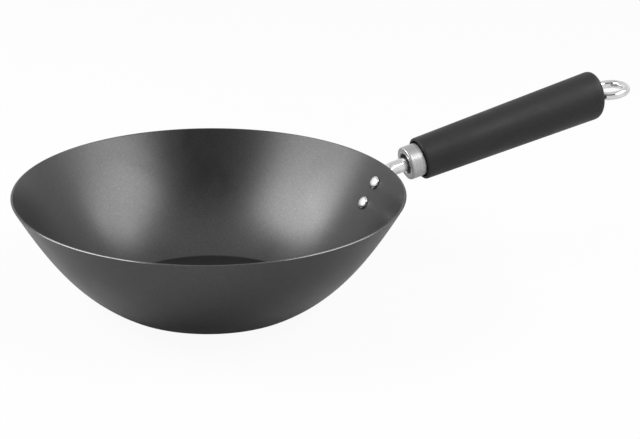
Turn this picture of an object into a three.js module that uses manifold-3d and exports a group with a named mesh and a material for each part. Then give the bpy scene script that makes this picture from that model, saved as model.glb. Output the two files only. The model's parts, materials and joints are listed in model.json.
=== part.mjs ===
// A steel wok with one long handle. Millimetres, +Z up.
// The origin is the middle of the base's underside, and the handle points along +X.

import * as THREE from 'three';
import { mergeVertices } from 'three/addons/utils/BufferGeometryUtils.js';
import Module from 'manifold-3d';

const wasm = await Module();
wasm.setup();

// Clearance between any two pieces that meet
const FIT = 0.3;

// Bowl: one pressed sheet, measured on its outside
const RIM_RADIUS = 135;
const BOWL_DEPTH = 76;
const SHEET = 1.5;
const BASE_RADIUS = 69;
const BASE_CORNER = 1.5;
const BASE_SLOPE = THREE.MathUtils.degToRad(30);
const RIM_SLOPE = THREE.MathUtils.degToRad(60);
const BASE_PULL = 31;
const RIM_PULL = 44;

// Handle axis: its rise, and how far below the rim it crosses the rim's radius
const HANDLE_TILT = THREE.MathUtils.degToRad(11.8);
const AXIS_BELOW_RIM = 4.4;

// Rivets, one above the other in the wall, placed by their distance below the rim along the wall
const UPPER_RIVET_DROP = 15;
const RIVET_SPACING = 16.4;
const RIVET_SHANK_RADIUS = 2.5;
const RIVET_HEAD_RADIUS = 4.8;
const RIVET_HEAD_HEIGHT = 2.2;
const RIVET_TAIL_RADIUS = 4.2;
const RIVET_TAIL_HEIGHT = 1.6;

// Stem: a tube whose bowl end is pressed flat into a tongue
const STEM_RADIUS = 5;
const STEM_WALL = 1.2;
const STEM_IN_GRIP = 36;
const FLARE_START = 1.5;
const STEM_FLARE = 1;
const TONGUE_BEND_DROP = 10;
const TONGUE_TIP_MARGIN = 8;

// Ferrule: a collar with a dished front and a spigot that centres it in the grip
const FERRULE_FRONT = 15.2;
const FERRULE_LENGTH = 10.8;
const FERRULE_RADIUS = 12;
const FERRULE_ROUND = 1.2;
const FERRULE_LIP = 4.2;
const DISH_DEPTH = 4;
const SPIGOT_WALL = 2.6;
const SPIGOT_LENGTH = 6;

// Grip: a round taper with rounded ends, the rear one leaning from square so that its top reaches further
const GRIP_LENGTH = 145.5;
const GRIP_FRONT_RADIUS = 15.2;
const GRIP_REAR_RADIUS = 17.5;
const GRIP_FRONT_ROUND = 1.3;
const GRIP_REAR_ROUND = 5;
const GRIP_END_LEAN = THREE.MathUtils.degToRad(8);

// Plug in the stem's end, and the bolt that screws into it
const PLUG_LENGTH = 12;
const PLUG_FLANGE = 2;
const BOLT_RADIUS = 2.5;
const BOLT_PLAY = 0.75;
const THREAD_ENGAGED = 8;
const BOLT_TIP_CHAMFER = 0.8;
const WASHER_THICKNESS = 1.3;
const WASHER_WIDTH = 2;
const WASHER_SPLIT = 1.2;

// Hanging loop: bent wire whose two legs stand in the bolt's boss; outside the boss it droops a little
const WIRE_RADIUS = 3;
const LOOP_RADIUS = 12;
const LOOP_REACH = 12.4;
const LEG_OFFSET = 6.2;
const LEG_BEND = 4;
const LEG_DEPTH = 3.5;
const LOOP_DROOP = THREE.MathUtils.degToRad(5);
const BOSS_EDGE = 1;
const BOSS_FLOOR = 1.4;

// Facets
const BOWL_SIDES = 72;
const WALL_STEPS = 9;
const CORNER_STEPS = 4;
const ROUND_SIDES = 32;
const SMALL_SIDES = 24;
const STEM_SIDES = 24;
const WIRE_SIDES = 12;
const LOOP_STEPS = 44;

// Places along the handle axis, counted from the rim's radius
const STEM_BORE_RADIUS = STEM_RADIUS - STEM_WALL;
const FERRULE_BACK = FERRULE_FRONT + FERRULE_LENGTH;
const GRIP_FRONT = FERRULE_BACK + FIT;
const GRIP_BACK = GRIP_FRONT + GRIP_LENGTH;
const STEM_END = GRIP_FRONT + STEM_IN_GRIP;
const PLUG_END = STEM_END + FIT + PLUG_FLANGE;
const BOSS_RADIUS = LEG_OFFSET + WIRE_RADIUS + FIT + BOSS_EDGE;
const BOSS_BACK = GRIP_BACK;
const BOSS_FRONT = BOSS_BACK - LEG_DEPTH - FIT - BOSS_FLOOR;
const WASHER_FRONT = BOSS_FRONT - FIT - WASHER_THICKNESS;
const COUNTERBORE_FLOOR = WASHER_FRONT - FIT;

// A tube pressed flat is two walls thick and half its circumference wide
const TONGUE_THICKNESS = 2 * STEM_WALL;
const TONGUE_WIDTH = Math.PI * (STEM_RADIUS - STEM_WALL / 2) + STEM_WALL;
const LOWER_RIVET_DROP = UPPER_RIVET_DROP + RIVET_SPACING;
const TONGUE_TIP_DROP = LOWER_RIVET_DROP + TONGUE_TIP_MARGIN;

const steel = (color, roughness) => new THREE.MeshStandardMaterial({ color, roughness, metalness: 1 });
const coatedSteel = () => new THREE.MeshStandardMaterial({ color: 0x4a4b4d, roughness: 0.45, metalness: 0.6 });
const blackPlastic = () => new THREE.MeshStandardMaterial({ color: 0x1c1d1c, roughness: 0.55, metalness: 0 });

// A closed solid for joining and cutting, with shared vertices merged and empty triangles dropped
function solidOf(geometry) {
  const bare = geometry.clone();
  bare.deleteAttribute('normal');
  bare.deleteAttribute('uv');
  const merged = mergeVertices(bare);
  const index = merged.index.array;
  const triangles = [];
  for (let i = 0; i < index.length; i += 3) {
    const [a, b, c] = index.slice(i, i + 3);
    if (a !== b && b !== c && c !== a) triangles.push(a, b, c);
  }
  const vertProperties = new Float32Array(merged.attributes.position.array);
  const triVerts = new Uint32Array(triangles);
  return new wasm.Manifold(new wasm.Mesh({ numProp: 3, vertProperties, triVerts }));
}

function geometryOf(solid) {
  const { numProp, vertProperties, triVerts } = solid.getMesh();
  const geometry = new THREE.BufferGeometry();
  const positions = new Float32Array((vertProperties.length / numProp) * 3);
  for (let i = 0; i < positions.length; i += 1) {
    positions[i] = vertProperties[Math.floor(i / 3) * numProp + (i % 3)];
  }
  geometry.setAttribute('position', new THREE.BufferAttribute(positions, 3));
  geometry.setIndex(new THREE.BufferAttribute(new Uint32Array(triVerts), 1));
  geometry.computeVertexNormals();
  return geometry;
}

function cut(geometry, ...tools) {
  return geometryOf(tools.reduce((solid, tool) => solid.subtract(solidOf(tool)), solidOf(geometry)));
}

function named(name, geometry, material) {
  const mesh = new THREE.Mesh(geometry, material);
  mesh.name = name;
  return mesh;
}

// A profile of [radius, distance along the axis] points turned about +X
function turned(profile, sides) {
  const points = profile.map(([radius, along]) => new THREE.Vector2(radius, along));
  return new THREE.LatheGeometry(points, sides).rotateZ(-Math.PI / 2);
}

// A ring's profile ends where it starts, so that it closes on itself
function turnedRing(profile, sides) {
  return turned([...profile, profile[0]], sides);
}

// The points of a quarter round, from one [radius, along] point to another, bulging to the corner
function rounded(from, corner, to) {
  const curve = new THREE.QuadraticBezierCurve(...[from, corner, to].map((p) => new THREE.Vector2(...p)));
  return curve.getPoints(CORNER_STEPS).map((p) => [p.x, p.y]);
}

// The outside of the bowl's wall in the (radius, height) plane, from the base's corner to the rim
const wallCurve = new THREE.CubicBezierCurve(
  new THREE.Vector2(BASE_RADIUS, 0),
  new THREE.Vector2(BASE_RADIUS + BASE_PULL * Math.cos(BASE_SLOPE), BASE_PULL * Math.sin(BASE_SLOPE)),
  new THREE.Vector2(
    RIM_RADIUS - RIM_PULL * Math.cos(RIM_SLOPE),
    BOWL_DEPTH - RIM_PULL * Math.sin(RIM_SLOPE),
  ),
  new THREE.Vector2(RIM_RADIUS, BOWL_DEPTH),
);
const wallLength = wallCurve.getLength();

// A point of a profile curve with the direction into the bowl, square to the sheet
function sheetPoint(point, tangent) {
  return { point, tangent, inward: new THREE.Vector2(-tangent.y, tangent.x) };
}

// The wall at a distance below the rim, measured along the wall
function wallAt(drop) {
  const share = 1 - drop / wallLength;
  return sheetPoint(wallCurve.getPointAt(share), wallCurve.getTangentAt(share));
}

// A place off the wall in the handle's upright plane; a positive distance is outside the bowl
function offWall(wall, distance) {
  return wall.point.clone().addScaledVector(wall.inward, -distance);
}

// A point of the handle's axis in the (radius, height) plane
function axisPoint(along) {
  const x = RIM_RADIUS + along * Math.cos(HANDLE_TILT);
  return new THREE.Vector2(x, BOWL_DEPTH - AXIS_BELOW_RIM + along * Math.sin(HANDLE_TILT));
}

function bowlProfile() {
  const cornerTop = wallAt(wallLength - BASE_CORNER);
  const corner = new THREE.QuadraticBezierCurve(
    new THREE.Vector2(BASE_RADIUS - BASE_CORNER, 0),
    new THREE.Vector2(BASE_RADIUS, 0),
    cornerTop.point,
  );
  const sheet = [];
  for (let i = 0; i < CORNER_STEPS; i += 1) {
    const share = i / CORNER_STEPS;
    sheet.push(sheetPoint(corner.getPoint(share), corner.getTangent(share)));
  }
  for (let i = 0; i < WALL_STEPS; i += 1) {
    sheet.push(wallAt((wallLength - BASE_CORNER) * (1 - i / WALL_STEPS)));
  }
  const outside = sheet.map(({ point }) => point);
  const inside = sheet.map((place) => offWall(place, -SHEET)).reverse();
  const rimInside = new THREE.Vector2(RIM_RADIUS - SHEET / Math.sin(RIM_SLOPE), BOWL_DEPTH);
  const rimOutside = new THREE.Vector2(RIM_RADIUS, BOWL_DEPTH);
  const axisUnder = new THREE.Vector2(0, 0);
  const axisOver = new THREE.Vector2(0, SHEET);
  return [axisUnder, ...outside, rimOutside, rimInside, ...inside, axisOver];
}

// Moves a piece made along +X so that it runs out through the wall at a distance below the rim
function throughWall(geometry, drop) {
  const wall = wallAt(drop);
  const lean = Math.atan2(-wall.inward.y, -wall.inward.x);
  return geometry.rotateY(-lean).translate(wall.point.x, 0, wall.point.y);
}

function rivetHole(drop) {
  const reach = SHEET + TONGUE_THICKNESS + RIVET_HEAD_HEIGHT;
  const radius = RIVET_SHANK_RADIUS + FIT;
  const profile = [[0, -reach], [radius, -reach], [radius, reach], [0, reach]];
  return throughWall(turned(profile, SMALL_SIDES), drop);
}

function bowl() {
  const shell = new THREE.LatheGeometry(bowlProfile(), BOWL_SIDES).rotateX(Math.PI / 2);
  shell.rotateZ(Math.PI / 2);
  const geometry = cut(shell, rivetHole(UPPER_RIVET_DROP), rivetHole(LOWER_RIVET_DROP));
  return named('wok_bowl', geometry, coatedSteel());
}

// A rivet: a domed head inside the bowl, a shank, and a flatter formed tail on the tongue
function rivet(name, drop) {
  const headSeat = -SHEET - FIT;
  const tailSeat = FIT + TONGUE_THICKNESS + FIT;
  const headTop = headSeat - RIVET_HEAD_HEIGHT;
  const tailTop = tailSeat + RIVET_TAIL_HEIGHT;
  const profile = [
    ...rounded([0, headTop], [RIVET_HEAD_RADIUS, headTop], [RIVET_HEAD_RADIUS, headSeat]),
    [RIVET_SHANK_RADIUS, headSeat],
    [RIVET_SHANK_RADIUS, tailSeat],
    ...rounded([RIVET_TAIL_RADIUS, tailSeat], [RIVET_TAIL_RADIUS, tailTop], [0, tailTop]),
  ];
  return named(name, throughWall(turned(profile, SMALL_SIDES), drop), steel(0xd2d3d4, 0.3));
}

// The stem's middle line in the handle's upright plane: up the wall, round a bend and out along the axis
function stemStations() {
  const offset = FIT + TONGUE_THICKNESS / 2;
  const tipShares = [0.05, 0.2, 0.5, 1];
  const tipLength = TONGUE_WIDTH / 2;
  const stations = [];
  const place = (point, tangent, flatness, width) => stations.push({ point, tangent, flatness, width });
  tipShares.forEach((share) => {
    const wall = wallAt(TONGUE_TIP_DROP - share * tipLength);
    const width = TONGUE_WIDTH * Math.sqrt(1 - (1 - share) ** 2);
    place(offWall(wall, offset), wall.tangent, 1, width);
  });
  const flatDrops = 4;
  for (let i = 1; i <= flatDrops; i += 1) {
    const drop = THREE.MathUtils.lerp(TONGUE_TIP_DROP - tipLength, TONGUE_BEND_DROP, i / flatDrops);
    const wall = wallAt(drop);
    place(offWall(wall, offset), wall.tangent, 1, TONGUE_WIDTH);
  }
  const bendStart = stations.at(-1);
  const axisDirection = new THREE.Vector2(Math.cos(HANDLE_TILT), Math.sin(HANDLE_TILT));
  const toAxis = axisPoint(0).sub(bendStart.point);
  const upWall = toAxis.cross(axisDirection) / bendStart.tangent.cross(axisDirection);
  const corner = bendStart.point.clone().addScaledVector(bendStart.tangent, upWall);
  const bendEnd = corner.clone().addScaledVector(axisDirection, upWall);
  const bend = new THREE.QuadraticBezierCurve(bendStart.point, corner, bendEnd);
  const bendLength = bend.getLength();
  const flareLength = bendLength + STEM_FLARE;
  const bendSteps = 8;
  const flareSteps = 1;
  const flatnessAt = (length) => 1 - THREE.MathUtils.smoothstep(length, FLARE_START, flareLength);
  for (let i = 1; i <= bendSteps; i += 1) {
    const share = i / bendSteps;
    place(bend.getPointAt(share), bend.getTangentAt(share), flatnessAt(share * bendLength), TONGUE_WIDTH);
  }
  for (let i = 1; i <= flareSteps; i += 1) {
    const length = (STEM_FLARE * i) / flareSteps;
    const point = bendEnd.clone().addScaledVector(axisDirection, length);
    place(point, axisDirection, flatnessAt(bendLength + length), TONGUE_WIDTH);
  }
  place(axisPoint(STEM_END), axisDirection, 0, TONGUE_WIDTH);
  return stations;
}

// One cross-section of the stem: a circle where it is a tube, a rounded bar where it is pressed flat
function stemSection({ point, tangent, flatness, width }) {
  const halfWidth = THREE.MathUtils.lerp(STEM_RADIUS, width / 2, flatness);
  const halfThickness = THREE.MathUtils.lerp(STEM_RADIUS, TONGUE_THICKNESS / 2, flatness);
  const roundest = 2;
  const squarest = 5;
  const power = 2 / THREE.MathUtils.lerp(roundest, squarest, flatness);
  const section = [];
  for (let i = 0; i < STEM_SIDES; i += 1) {
    const angle = (2 * Math.PI * i) / STEM_SIDES;
    const across = halfWidth * Math.sign(Math.cos(angle)) * Math.abs(Math.cos(angle)) ** power;
    const up = halfThickness * Math.sign(Math.sin(angle)) * Math.abs(Math.sin(angle)) ** power;
    section.push(new THREE.Vector3(point.x - up * tangent.y, across, point.y + up * tangent.x));
  }
  return section;
}

// A skin over sections of equal point count, closed by a flat fan at each end
function loft(sections) {
  const count = sections[0].length;
  const index = [];
  for (let row = 0; row < sections.length - 1; row += 1) {
    for (let i = 0; i < count; i += 1) {
      const a = row * count + i;
      const b = row * count + ((i + 1) % count);
      index.push(a, b, b + count, a, b + count, a + count);
    }
  }
  const last = (sections.length - 1) * count;
  for (let i = 1; i < count - 1; i += 1) {
    index.push(0, i + 1, i, last, last + i, last + i + 1);
  }
  const geometry = new THREE.BufferGeometry().setFromPoints(sections.flat());
  geometry.setIndex(index);
  return geometry;
}

// A tool for the handle's axis, placed in the bowl's frame
function alongHandle(geometry) {
  const start = axisPoint(0);
  return geometry.rotateY(-HANDLE_TILT).translate(start.x, 0, start.y);
}

function stem() {
  const boreStart = FERRULE_FRONT;
  const boreEnd = STEM_END + FIT;
  const bore = [[0, boreStart], [STEM_BORE_RADIUS, boreStart], [STEM_BORE_RADIUS, boreEnd], [0, boreEnd]];
  const geometry = cut(
    loft(stemStations().map(stemSection)),
    alongHandle(turned(bore, SMALL_SIDES)),
    rivetHole(UPPER_RIVET_DROP),
    rivetHole(LOWER_RIVET_DROP),
  );
  return named('handle_stem', geometry, steel(0xc8c9ca, 0.12));
}

function ferrule() {
  const boreRadius = STEM_RADIUS + FIT;
  const spigotRadius = boreRadius + SPIGOT_WALL;
  const mouthRadius = FERRULE_RADIUS - FERRULE_LIP;
  const spigotEnd = FERRULE_BACK + SPIGOT_LENGTH;
  const profile = [
    [boreRadius, spigotEnd],
    [boreRadius, FERRULE_FRONT + DISH_DEPTH],
    [mouthRadius, FERRULE_FRONT],
    ...rounded(
      [FERRULE_RADIUS - FERRULE_ROUND, FERRULE_FRONT],
      [FERRULE_RADIUS, FERRULE_FRONT],
      [FERRULE_RADIUS, FERRULE_FRONT + FERRULE_ROUND],
    ),
    [FERRULE_RADIUS, FERRULE_BACK],
    [spigotRadius, FERRULE_BACK],
    [spigotRadius, spigotEnd],
  ];
  return named('ferrule', turnedRing(profile, ROUND_SIDES), steel(0xb9babb, 0.35));
}

// Moves the points of the grip's rear end along the axis, the upper ones out and the lower ones in
function leanRearEnd(geometry) {
  const { position } = geometry.attributes;
  const endStart = GRIP_BACK - GRIP_REAR_ROUND - FIT;
  for (let i = 0; i < position.count; i += 1) {
    const along = position.getX(i);
    if (along > endStart) position.setX(i, along + position.getZ(i) * Math.tan(GRIP_END_LEAN));
  }
  return geometry;
}

// The grip's outside is a straight taper between its two rounded ends
function grip() {
  const stemSocket = STEM_RADIUS + FIT;
  const spigotSocket = stemSocket + SPIGOT_WALL + FIT;
  const spigotFloor = FERRULE_BACK + SPIGOT_LENGTH + FIT;
  const socketFloor = PLUG_END + FIT;
  const boltBore = BOLT_RADIUS + BOLT_PLAY;
  const bossSocket = BOSS_RADIUS + FIT;
  const profile = [
    [spigotSocket, GRIP_FRONT],
    ...rounded(
      [GRIP_FRONT_RADIUS - GRIP_FRONT_ROUND, GRIP_FRONT],
      [GRIP_FRONT_RADIUS, GRIP_FRONT],
      [GRIP_FRONT_RADIUS, GRIP_FRONT + GRIP_FRONT_ROUND],
    ),
    ...rounded(
      [GRIP_REAR_RADIUS, GRIP_BACK - GRIP_REAR_ROUND],
      [GRIP_REAR_RADIUS, GRIP_BACK],
      [GRIP_REAR_RADIUS - GRIP_REAR_ROUND, GRIP_BACK],
    ),
    [bossSocket, GRIP_BACK],
    [bossSocket, COUNTERBORE_FLOOR],
    [boltBore, COUNTERBORE_FLOOR],
    [boltBore, socketFloor],
    [stemSocket, socketFloor],
    [stemSocket, spigotFloor],
    [spigotSocket, spigotFloor],
  ];
  return named('grip', leanRearEnd(turnedRing(profile, ROUND_SIDES)), blackPlastic());
}

// A flanged plug pressed into the stem's end; its bore takes the bolt
function stemPlug() {
  const bore = BOLT_RADIUS + FIT;
  const body = STEM_BORE_RADIUS - FIT;
  const flangeFront = STEM_END + FIT;
  const profile = [
    [bore, STEM_END - PLUG_LENGTH],
    [body, STEM_END - PLUG_LENGTH],
    [body, flangeFront],
    [STEM_RADIUS, flangeFront],
    [STEM_RADIUS, PLUG_END],
    [bore, PLUG_END],
  ];
  return named('stem_plug', turnedRing(profile, SMALL_SIDES), steel(0x9a9b9c, 0.4));
}

// A ring split at one place, lying across the bolt
function springWasher() {
  const inner = BOLT_RADIUS + FIT;
  const outer = inner + WASHER_WIDTH;
  const innerHalf = Math.asin(WASHER_SPLIT / 2 / inner);
  const outerHalf = Math.asin(WASHER_SPLIT / 2 / outer);
  const shape = new THREE.Shape();
  shape.absarc(0, 0, outer, outerHalf, 2 * Math.PI - outerHalf, false);
  shape.absarc(0, 0, inner, 2 * Math.PI - innerHalf, innerHalf, true);
  const settings = { depth: WASHER_THICKNESS, bevelEnabled: false, curveSegments: SMALL_SIDES / 2 };
  const geometry = new THREE.ExtrudeGeometry(shape, settings).rotateY(Math.PI / 2);
  return named('spring_washer', geometry.translate(WASHER_FRONT, 0, 0), steel(0x8e8f90, 0.4));
}

// The bolt runs from its boss, sunk in the grip's end, to its thread in the plug
function tieBolt() {
  const tip = PLUG_END - THREAD_ENGAGED;
  const profile = [
    [0, tip],
    [BOLT_RADIUS - BOLT_TIP_CHAMFER, tip],
    [BOLT_RADIUS, tip + BOLT_TIP_CHAMFER],
    [BOLT_RADIUS, BOSS_FRONT],
    [BOSS_RADIUS, BOSS_FRONT],
    [BOSS_RADIUS, BOSS_BACK],
    [0, BOSS_BACK],
  ];
  const holeRadius = WIRE_RADIUS + FIT;
  const holeFloor = BOSS_BACK - LEG_DEPTH - FIT;
  const holeTop = BOSS_BACK + LEG_DEPTH;
  const hole = [[0, holeFloor], [holeRadius, holeFloor], [holeRadius, holeTop], [0, holeTop]];
  const holes = [-LEG_OFFSET, LEG_OFFSET].map((y) => turned(hole, SMALL_SIDES).translate(0, y, 0));
  return named('tie_bolt', cut(turned(profile, ROUND_SIDES), ...holes), steel(0xa9aaab, 0.35));
}

// The loop's wire: a straight leg, a small outward bend, the big round, and the same back again
class LoopLine extends THREE.Curve {
  constructor() {
    super();
    const centre = GRIP_BACK + LOOP_REACH;
    const bendOffset = LEG_OFFSET + LEG_BEND;
    const bendAlong = centre - Math.sqrt((LOOP_RADIUS + LEG_BEND) ** 2 - bendOffset ** 2);
    const turn = Math.atan2(bendOffset, centre - bendAlong);
    const half = new THREE.CurvePath();
    const foot = new THREE.Vector2(BOSS_BACK - LEG_DEPTH, LEG_OFFSET);
    half.add(new THREE.LineCurve(foot, new THREE.Vector2(bendAlong, LEG_OFFSET)));
    half.add(new THREE.EllipseCurve(bendAlong, bendOffset, LEG_BEND, LEG_BEND, -Math.PI / 2, -turn, false));
    half.add(new THREE.EllipseCurve(centre, 0, LOOP_RADIUS, LOOP_RADIUS, Math.PI - turn, 0, true));
    this.half = half;
  }

  getPoint(share) {
    const side = share <= 0.5 ? 1 : -1;
    const point = this.half.getPoint(1 - Math.abs(2 * share - 1));
    const drop = Math.max(0, point.x - BOSS_BACK) * Math.tan(LOOP_DROOP);
    return new THREE.Vector3(point.x, side * point.y, -drop);
  }
}

function hangingLoop() {
  const wire = new THREE.Shape().absarc(0, 0, WIRE_RADIUS, 0, 2 * Math.PI, false);
  const settings = { steps: LOOP_STEPS, extrudePath: new LoopLine(), curveSegments: WIRE_SIDES / 2 };
  return named('hanging_loop', new THREE.ExtrudeGeometry(wire, settings), steel(0xd0d1d2, 0.12));
}

const handle = new THREE.Group();
const handleStart = axisPoint(0);
handle.position.set(handleStart.x, 0, handleStart.y);
handle.rotation.y = -HANDLE_TILT;
handle.add(ferrule(), grip(), stemPlug(), springWasher(), tieBolt(), hangingLoop());

const wok = new THREE.Group();
wok.add(bowl());
wok.add(rivet('upper_rivet', UPPER_RIVET_DROP));
wok.add(rivet('lower_rivet', LOWER_RIVET_DROP));
wok.add(stem());
wok.add(handle);

export default wok;
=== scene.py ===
# %% [markdown]
# # A steel wok in a white studio
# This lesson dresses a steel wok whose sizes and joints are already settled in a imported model.
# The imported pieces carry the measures, but they are made of flat facets that a camera would notice.
# So each piece that shows is built again here with a fine surface, in the same place and size, and
# then gets a finish: a dark coat, bright steel, satin steel or black plastic.

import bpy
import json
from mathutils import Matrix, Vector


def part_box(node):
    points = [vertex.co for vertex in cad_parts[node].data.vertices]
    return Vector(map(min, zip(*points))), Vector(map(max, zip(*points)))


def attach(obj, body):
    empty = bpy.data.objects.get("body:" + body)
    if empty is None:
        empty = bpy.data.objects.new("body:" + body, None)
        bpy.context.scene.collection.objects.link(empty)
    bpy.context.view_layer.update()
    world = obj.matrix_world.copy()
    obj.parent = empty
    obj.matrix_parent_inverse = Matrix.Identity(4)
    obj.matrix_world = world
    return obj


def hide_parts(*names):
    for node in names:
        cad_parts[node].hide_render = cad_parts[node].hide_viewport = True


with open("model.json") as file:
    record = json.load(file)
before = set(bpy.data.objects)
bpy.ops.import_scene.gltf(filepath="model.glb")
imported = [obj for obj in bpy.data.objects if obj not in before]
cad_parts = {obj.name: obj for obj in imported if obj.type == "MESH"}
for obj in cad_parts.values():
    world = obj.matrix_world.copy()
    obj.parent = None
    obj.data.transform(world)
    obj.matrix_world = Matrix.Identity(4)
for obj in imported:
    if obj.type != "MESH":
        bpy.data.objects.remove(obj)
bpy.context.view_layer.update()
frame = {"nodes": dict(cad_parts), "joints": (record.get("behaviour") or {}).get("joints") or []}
print("pieces in the packed model:", ", ".join(sorted(frame["nodes"])))

# %% The modules this lesson needs
import json
import math

import bmesh
import bpy
import numpy as np
from mathutils import Matrix, Vector

MM = 0.001
print("one millimetre is", MM, "of a Blender unit")

# %% [markdown]
# ## Where things are
# The bowl stands on the origin, and its handle leaves it along +X, rising a little.
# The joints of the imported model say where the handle's axis is: the bolt in the handle slides along it.
# A frame of our own on that axis makes the handle's round pieces simple to turn, because in that frame
# the axis is local Z, local Y runs across the handle and local X points down.
# Distances along the handle are counted from the place where its axis crosses the rim's radius.

# %% Measure the handle's axis
joints = {joint["name"]: joint for joint in frame["joints"]}
axis = Vector(joints["bolt_travel"]["axis"]).normalized()
across = Vector((0, 1, 0))
down = across.cross(axis)
grip_end = Vector(joints["loop_turn"]["pos_m"])
RIM_RADIUS = round(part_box("wok_bowl")[1].x, 5)
BOWL_DEPTH = round(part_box("wok_bowl")[1].z, 5)
axis_start = grip_end + axis * ((RIM_RADIUS - grip_end.x) / axis.x)
HANDLE = Matrix((down, across, axis)).transposed().to_4x4()
HANDLE.translation = axis_start
GRIP_BACK = (grip_end - axis_start).length
print(f"rim radius {RIM_RADIUS:.4f} m, depth {BOWL_DEPTH:.4f} m")
handle_rise = math.degrees(math.asin(axis.z))
print(f"the handle rises {handle_rise:.2f} degrees and ends {GRIP_BACK:.4f} m from the rim")

# %% [markdown]
# ## Helpers for round and bent pieces
# Nearly everything on a wok is turned, drawn or bent: a profile spun about an axis, a tube, a wire.
# Blender has modifiers for spinning and beveling, but plain lists of points leave every edge loop in
# our hands, and the loops decide how smooth a highlight runs. Four helpers do most of the work: one
# draws a curve, one rounds the corners of a profile, one spins a profile, and one stretches a skin over
# cross-sections.


# %% A curve from its control points
def curve(controls, steps):
    """Points of a Bezier curve, by repeated blending between neighbouring control points."""
    share = np.linspace(0, 1, steps + 1)[:, None]
    level = [np.array(point, float) for point in controls]
    while len(level) > 1:
        level = [(1 - share) * a + share * b for a, b in zip(level, level[1:])]
    return level[0]


print("half way round a square bend:", curve([(0, 0), (1, 0), (1, 1)], 2)[1])


# %% A profile with rounded corners
HOLDING_LOOP = 1.35
ROUND_STEPS = 7


def soften(corners, steps=ROUND_STEPS):
    """Rounds (radius, along, size) corners; a loop just past each round keeps the flats next to it flat."""
    flat = [np.array(corner[:2]) for corner in corners]
    outline = []
    for i, (corner, size) in enumerate(zip(flat, (c[2] for c in corners))):
        if not size:
            outline.append(corner)
            continue
        ways = [other - corner for other in (flat[i - 1], flat[(i + 1) % len(flat)])]
        ways = [size * way / np.linalg.norm(way) for way in ways]
        outline.append(corner + HOLDING_LOOP * ways[0])
        outline.extend(curve([corner + ways[0], corner, corner + ways[1]], steps))
        outline.append(corner + HOLDING_LOOP * ways[1])
    return outline


rounded = soften([(0, 0, 0), (1, 0, 0.1), (1, 1, 0)])
print(f"a corner rounded in {ROUND_STEPS} steps takes {len(rounded) - 2} points")


# %% A profile spun about local Z
def revolve(profile, sides, ring=False):
    """Points and faces of a turned piece. A ring's profile closes on itself; others end on the axis."""
    points, faces, loops = [], [], []
    for radius, along in profile:
        turns = sides if radius > 0 else 1
        loops.append([len(points) + i for i in range(turns)])
        for i in range(turns):
            angle = 2 * math.pi * i / turns
            points.append((radius * math.cos(angle), radius * math.sin(angle), along))
    following = loops[1:] + loops[:1] if ring else loops[1:]
    for low, high in zip(loops, following):
        for i in range(sides):
            k = i + 1
            corners = (low[i % len(low)], low[k % len(low)], high[k % len(high)], high[i % len(high)])
            corners = tuple(dict.fromkeys(corners))
            if len(corners) > 2:
                faces.append(corners)
    return points, faces


print("a cone of 8 sides with a flat base has", len(revolve([(0, 0), (1, 0), (0, 1)], 8)[1]), "faces")


# %% A skin over cross-sections
def skin(sections):
    """Points and faces of a tube-like piece over sections of equal point count, closed at both ends."""
    count = len(sections[0])
    points = [tuple(point) for section in sections for point in section]
    faces = []
    for row in range(len(sections) - 1):
        for i in range(count):
            k = (i + 1) % count
            faces.append((row * count + i, row * count + k, (row + 1) * count + k, (row + 1) * count + i))
    faces.append(tuple(range(count)))
    faces.append(tuple(range(len(points) - count, len(points))))
    return points, faces


square = [(0, 0), (1, 0), (1, 1), (0, 1)]
cube_faces = skin([[(x, y, height) for x, y in square] for height in (0, 1)])[1]
print("a skin over two squares has", len(cube_faces), "faces")


# %% From points and faces to an object
CREASE = math.radians(38)


def shade(mesh):
    """Smooth shading that still breaks at real edges."""
    mesh.shade_smooth()
    mesh.set_sharp_from_angle(angle=CREASE)


def add_object(name, data):
    thing = bpy.data.objects.new(name, data)
    bpy.context.scene.collection.objects.link(thing)
    return thing


def make_piece(name, points, faces, place=None):
    mesh = bpy.data.meshes.new(name)
    mesh.from_pydata(points, [], faces)
    shape = bmesh.new()
    shape.from_mesh(mesh)
    bmesh.ops.recalc_face_normals(shape, faces=shape.faces)
    shape.to_mesh(mesh)
    shape.free()
    shade(mesh)
    piece = add_object(name, mesh)
    if place is not None:
        piece.matrix_world = place
    print(f"{name}: {len(mesh.vertices)} points, {len(mesh.polygons)} faces")
    return piece


print(f"edges that turn by more than {math.degrees(CREASE):.0f} degrees stay sharp")

# %% [markdown]
# ## The bowl
# The bowl is one steel sheet, 1.5 mm thick, pressed over a form: a flat base, a crisp corner and a wall
# that steepens towards the rim. The rim is simply cut, and a narrow facet breaks its outer corner.
# A sphere squashed to size would miss the flat base and the sheet's thickness, so the wall's outside is
# drawn as one curve and the inside follows it at the sheet's thickness, and both are spun together.

# %% The wall's outside line, from the base to the rim
SHEET = 1.5 * MM
BASE_RADIUS = 69 * MM
BASE_CORNER = 1.5 * MM
BASE_SLOPE = math.radians(30)
RIM_SLOPE = math.radians(60)
BASE_PULL = 31 * MM
RIM_PULL = 44 * MM
WALL_SAMPLES = 600


def run_along(line):
    """The way along a line of points, from its first point to each of them."""
    return np.concatenate([[0], np.cumsum(np.linalg.norm(np.diff(line, axis=0), axis=1))])


wall_line = curve(
    [
        (BASE_RADIUS, 0),
        (BASE_RADIUS + BASE_PULL * math.cos(BASE_SLOPE), BASE_PULL * math.sin(BASE_SLOPE)),
        (RIM_RADIUS - RIM_PULL * math.cos(RIM_SLOPE), BOWL_DEPTH - RIM_PULL * math.sin(RIM_SLOPE)),
        (RIM_RADIUS, BOWL_DEPTH),
    ],
    WALL_SAMPLES,
)
wall_run = run_along(wall_line)
wall_heading = np.gradient(wall_line, wall_run, axis=0)
WALL_LENGTH = wall_run[-1]
print(f"the wall is {WALL_LENGTH / MM:.1f} mm long from its base to its rim")


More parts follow.
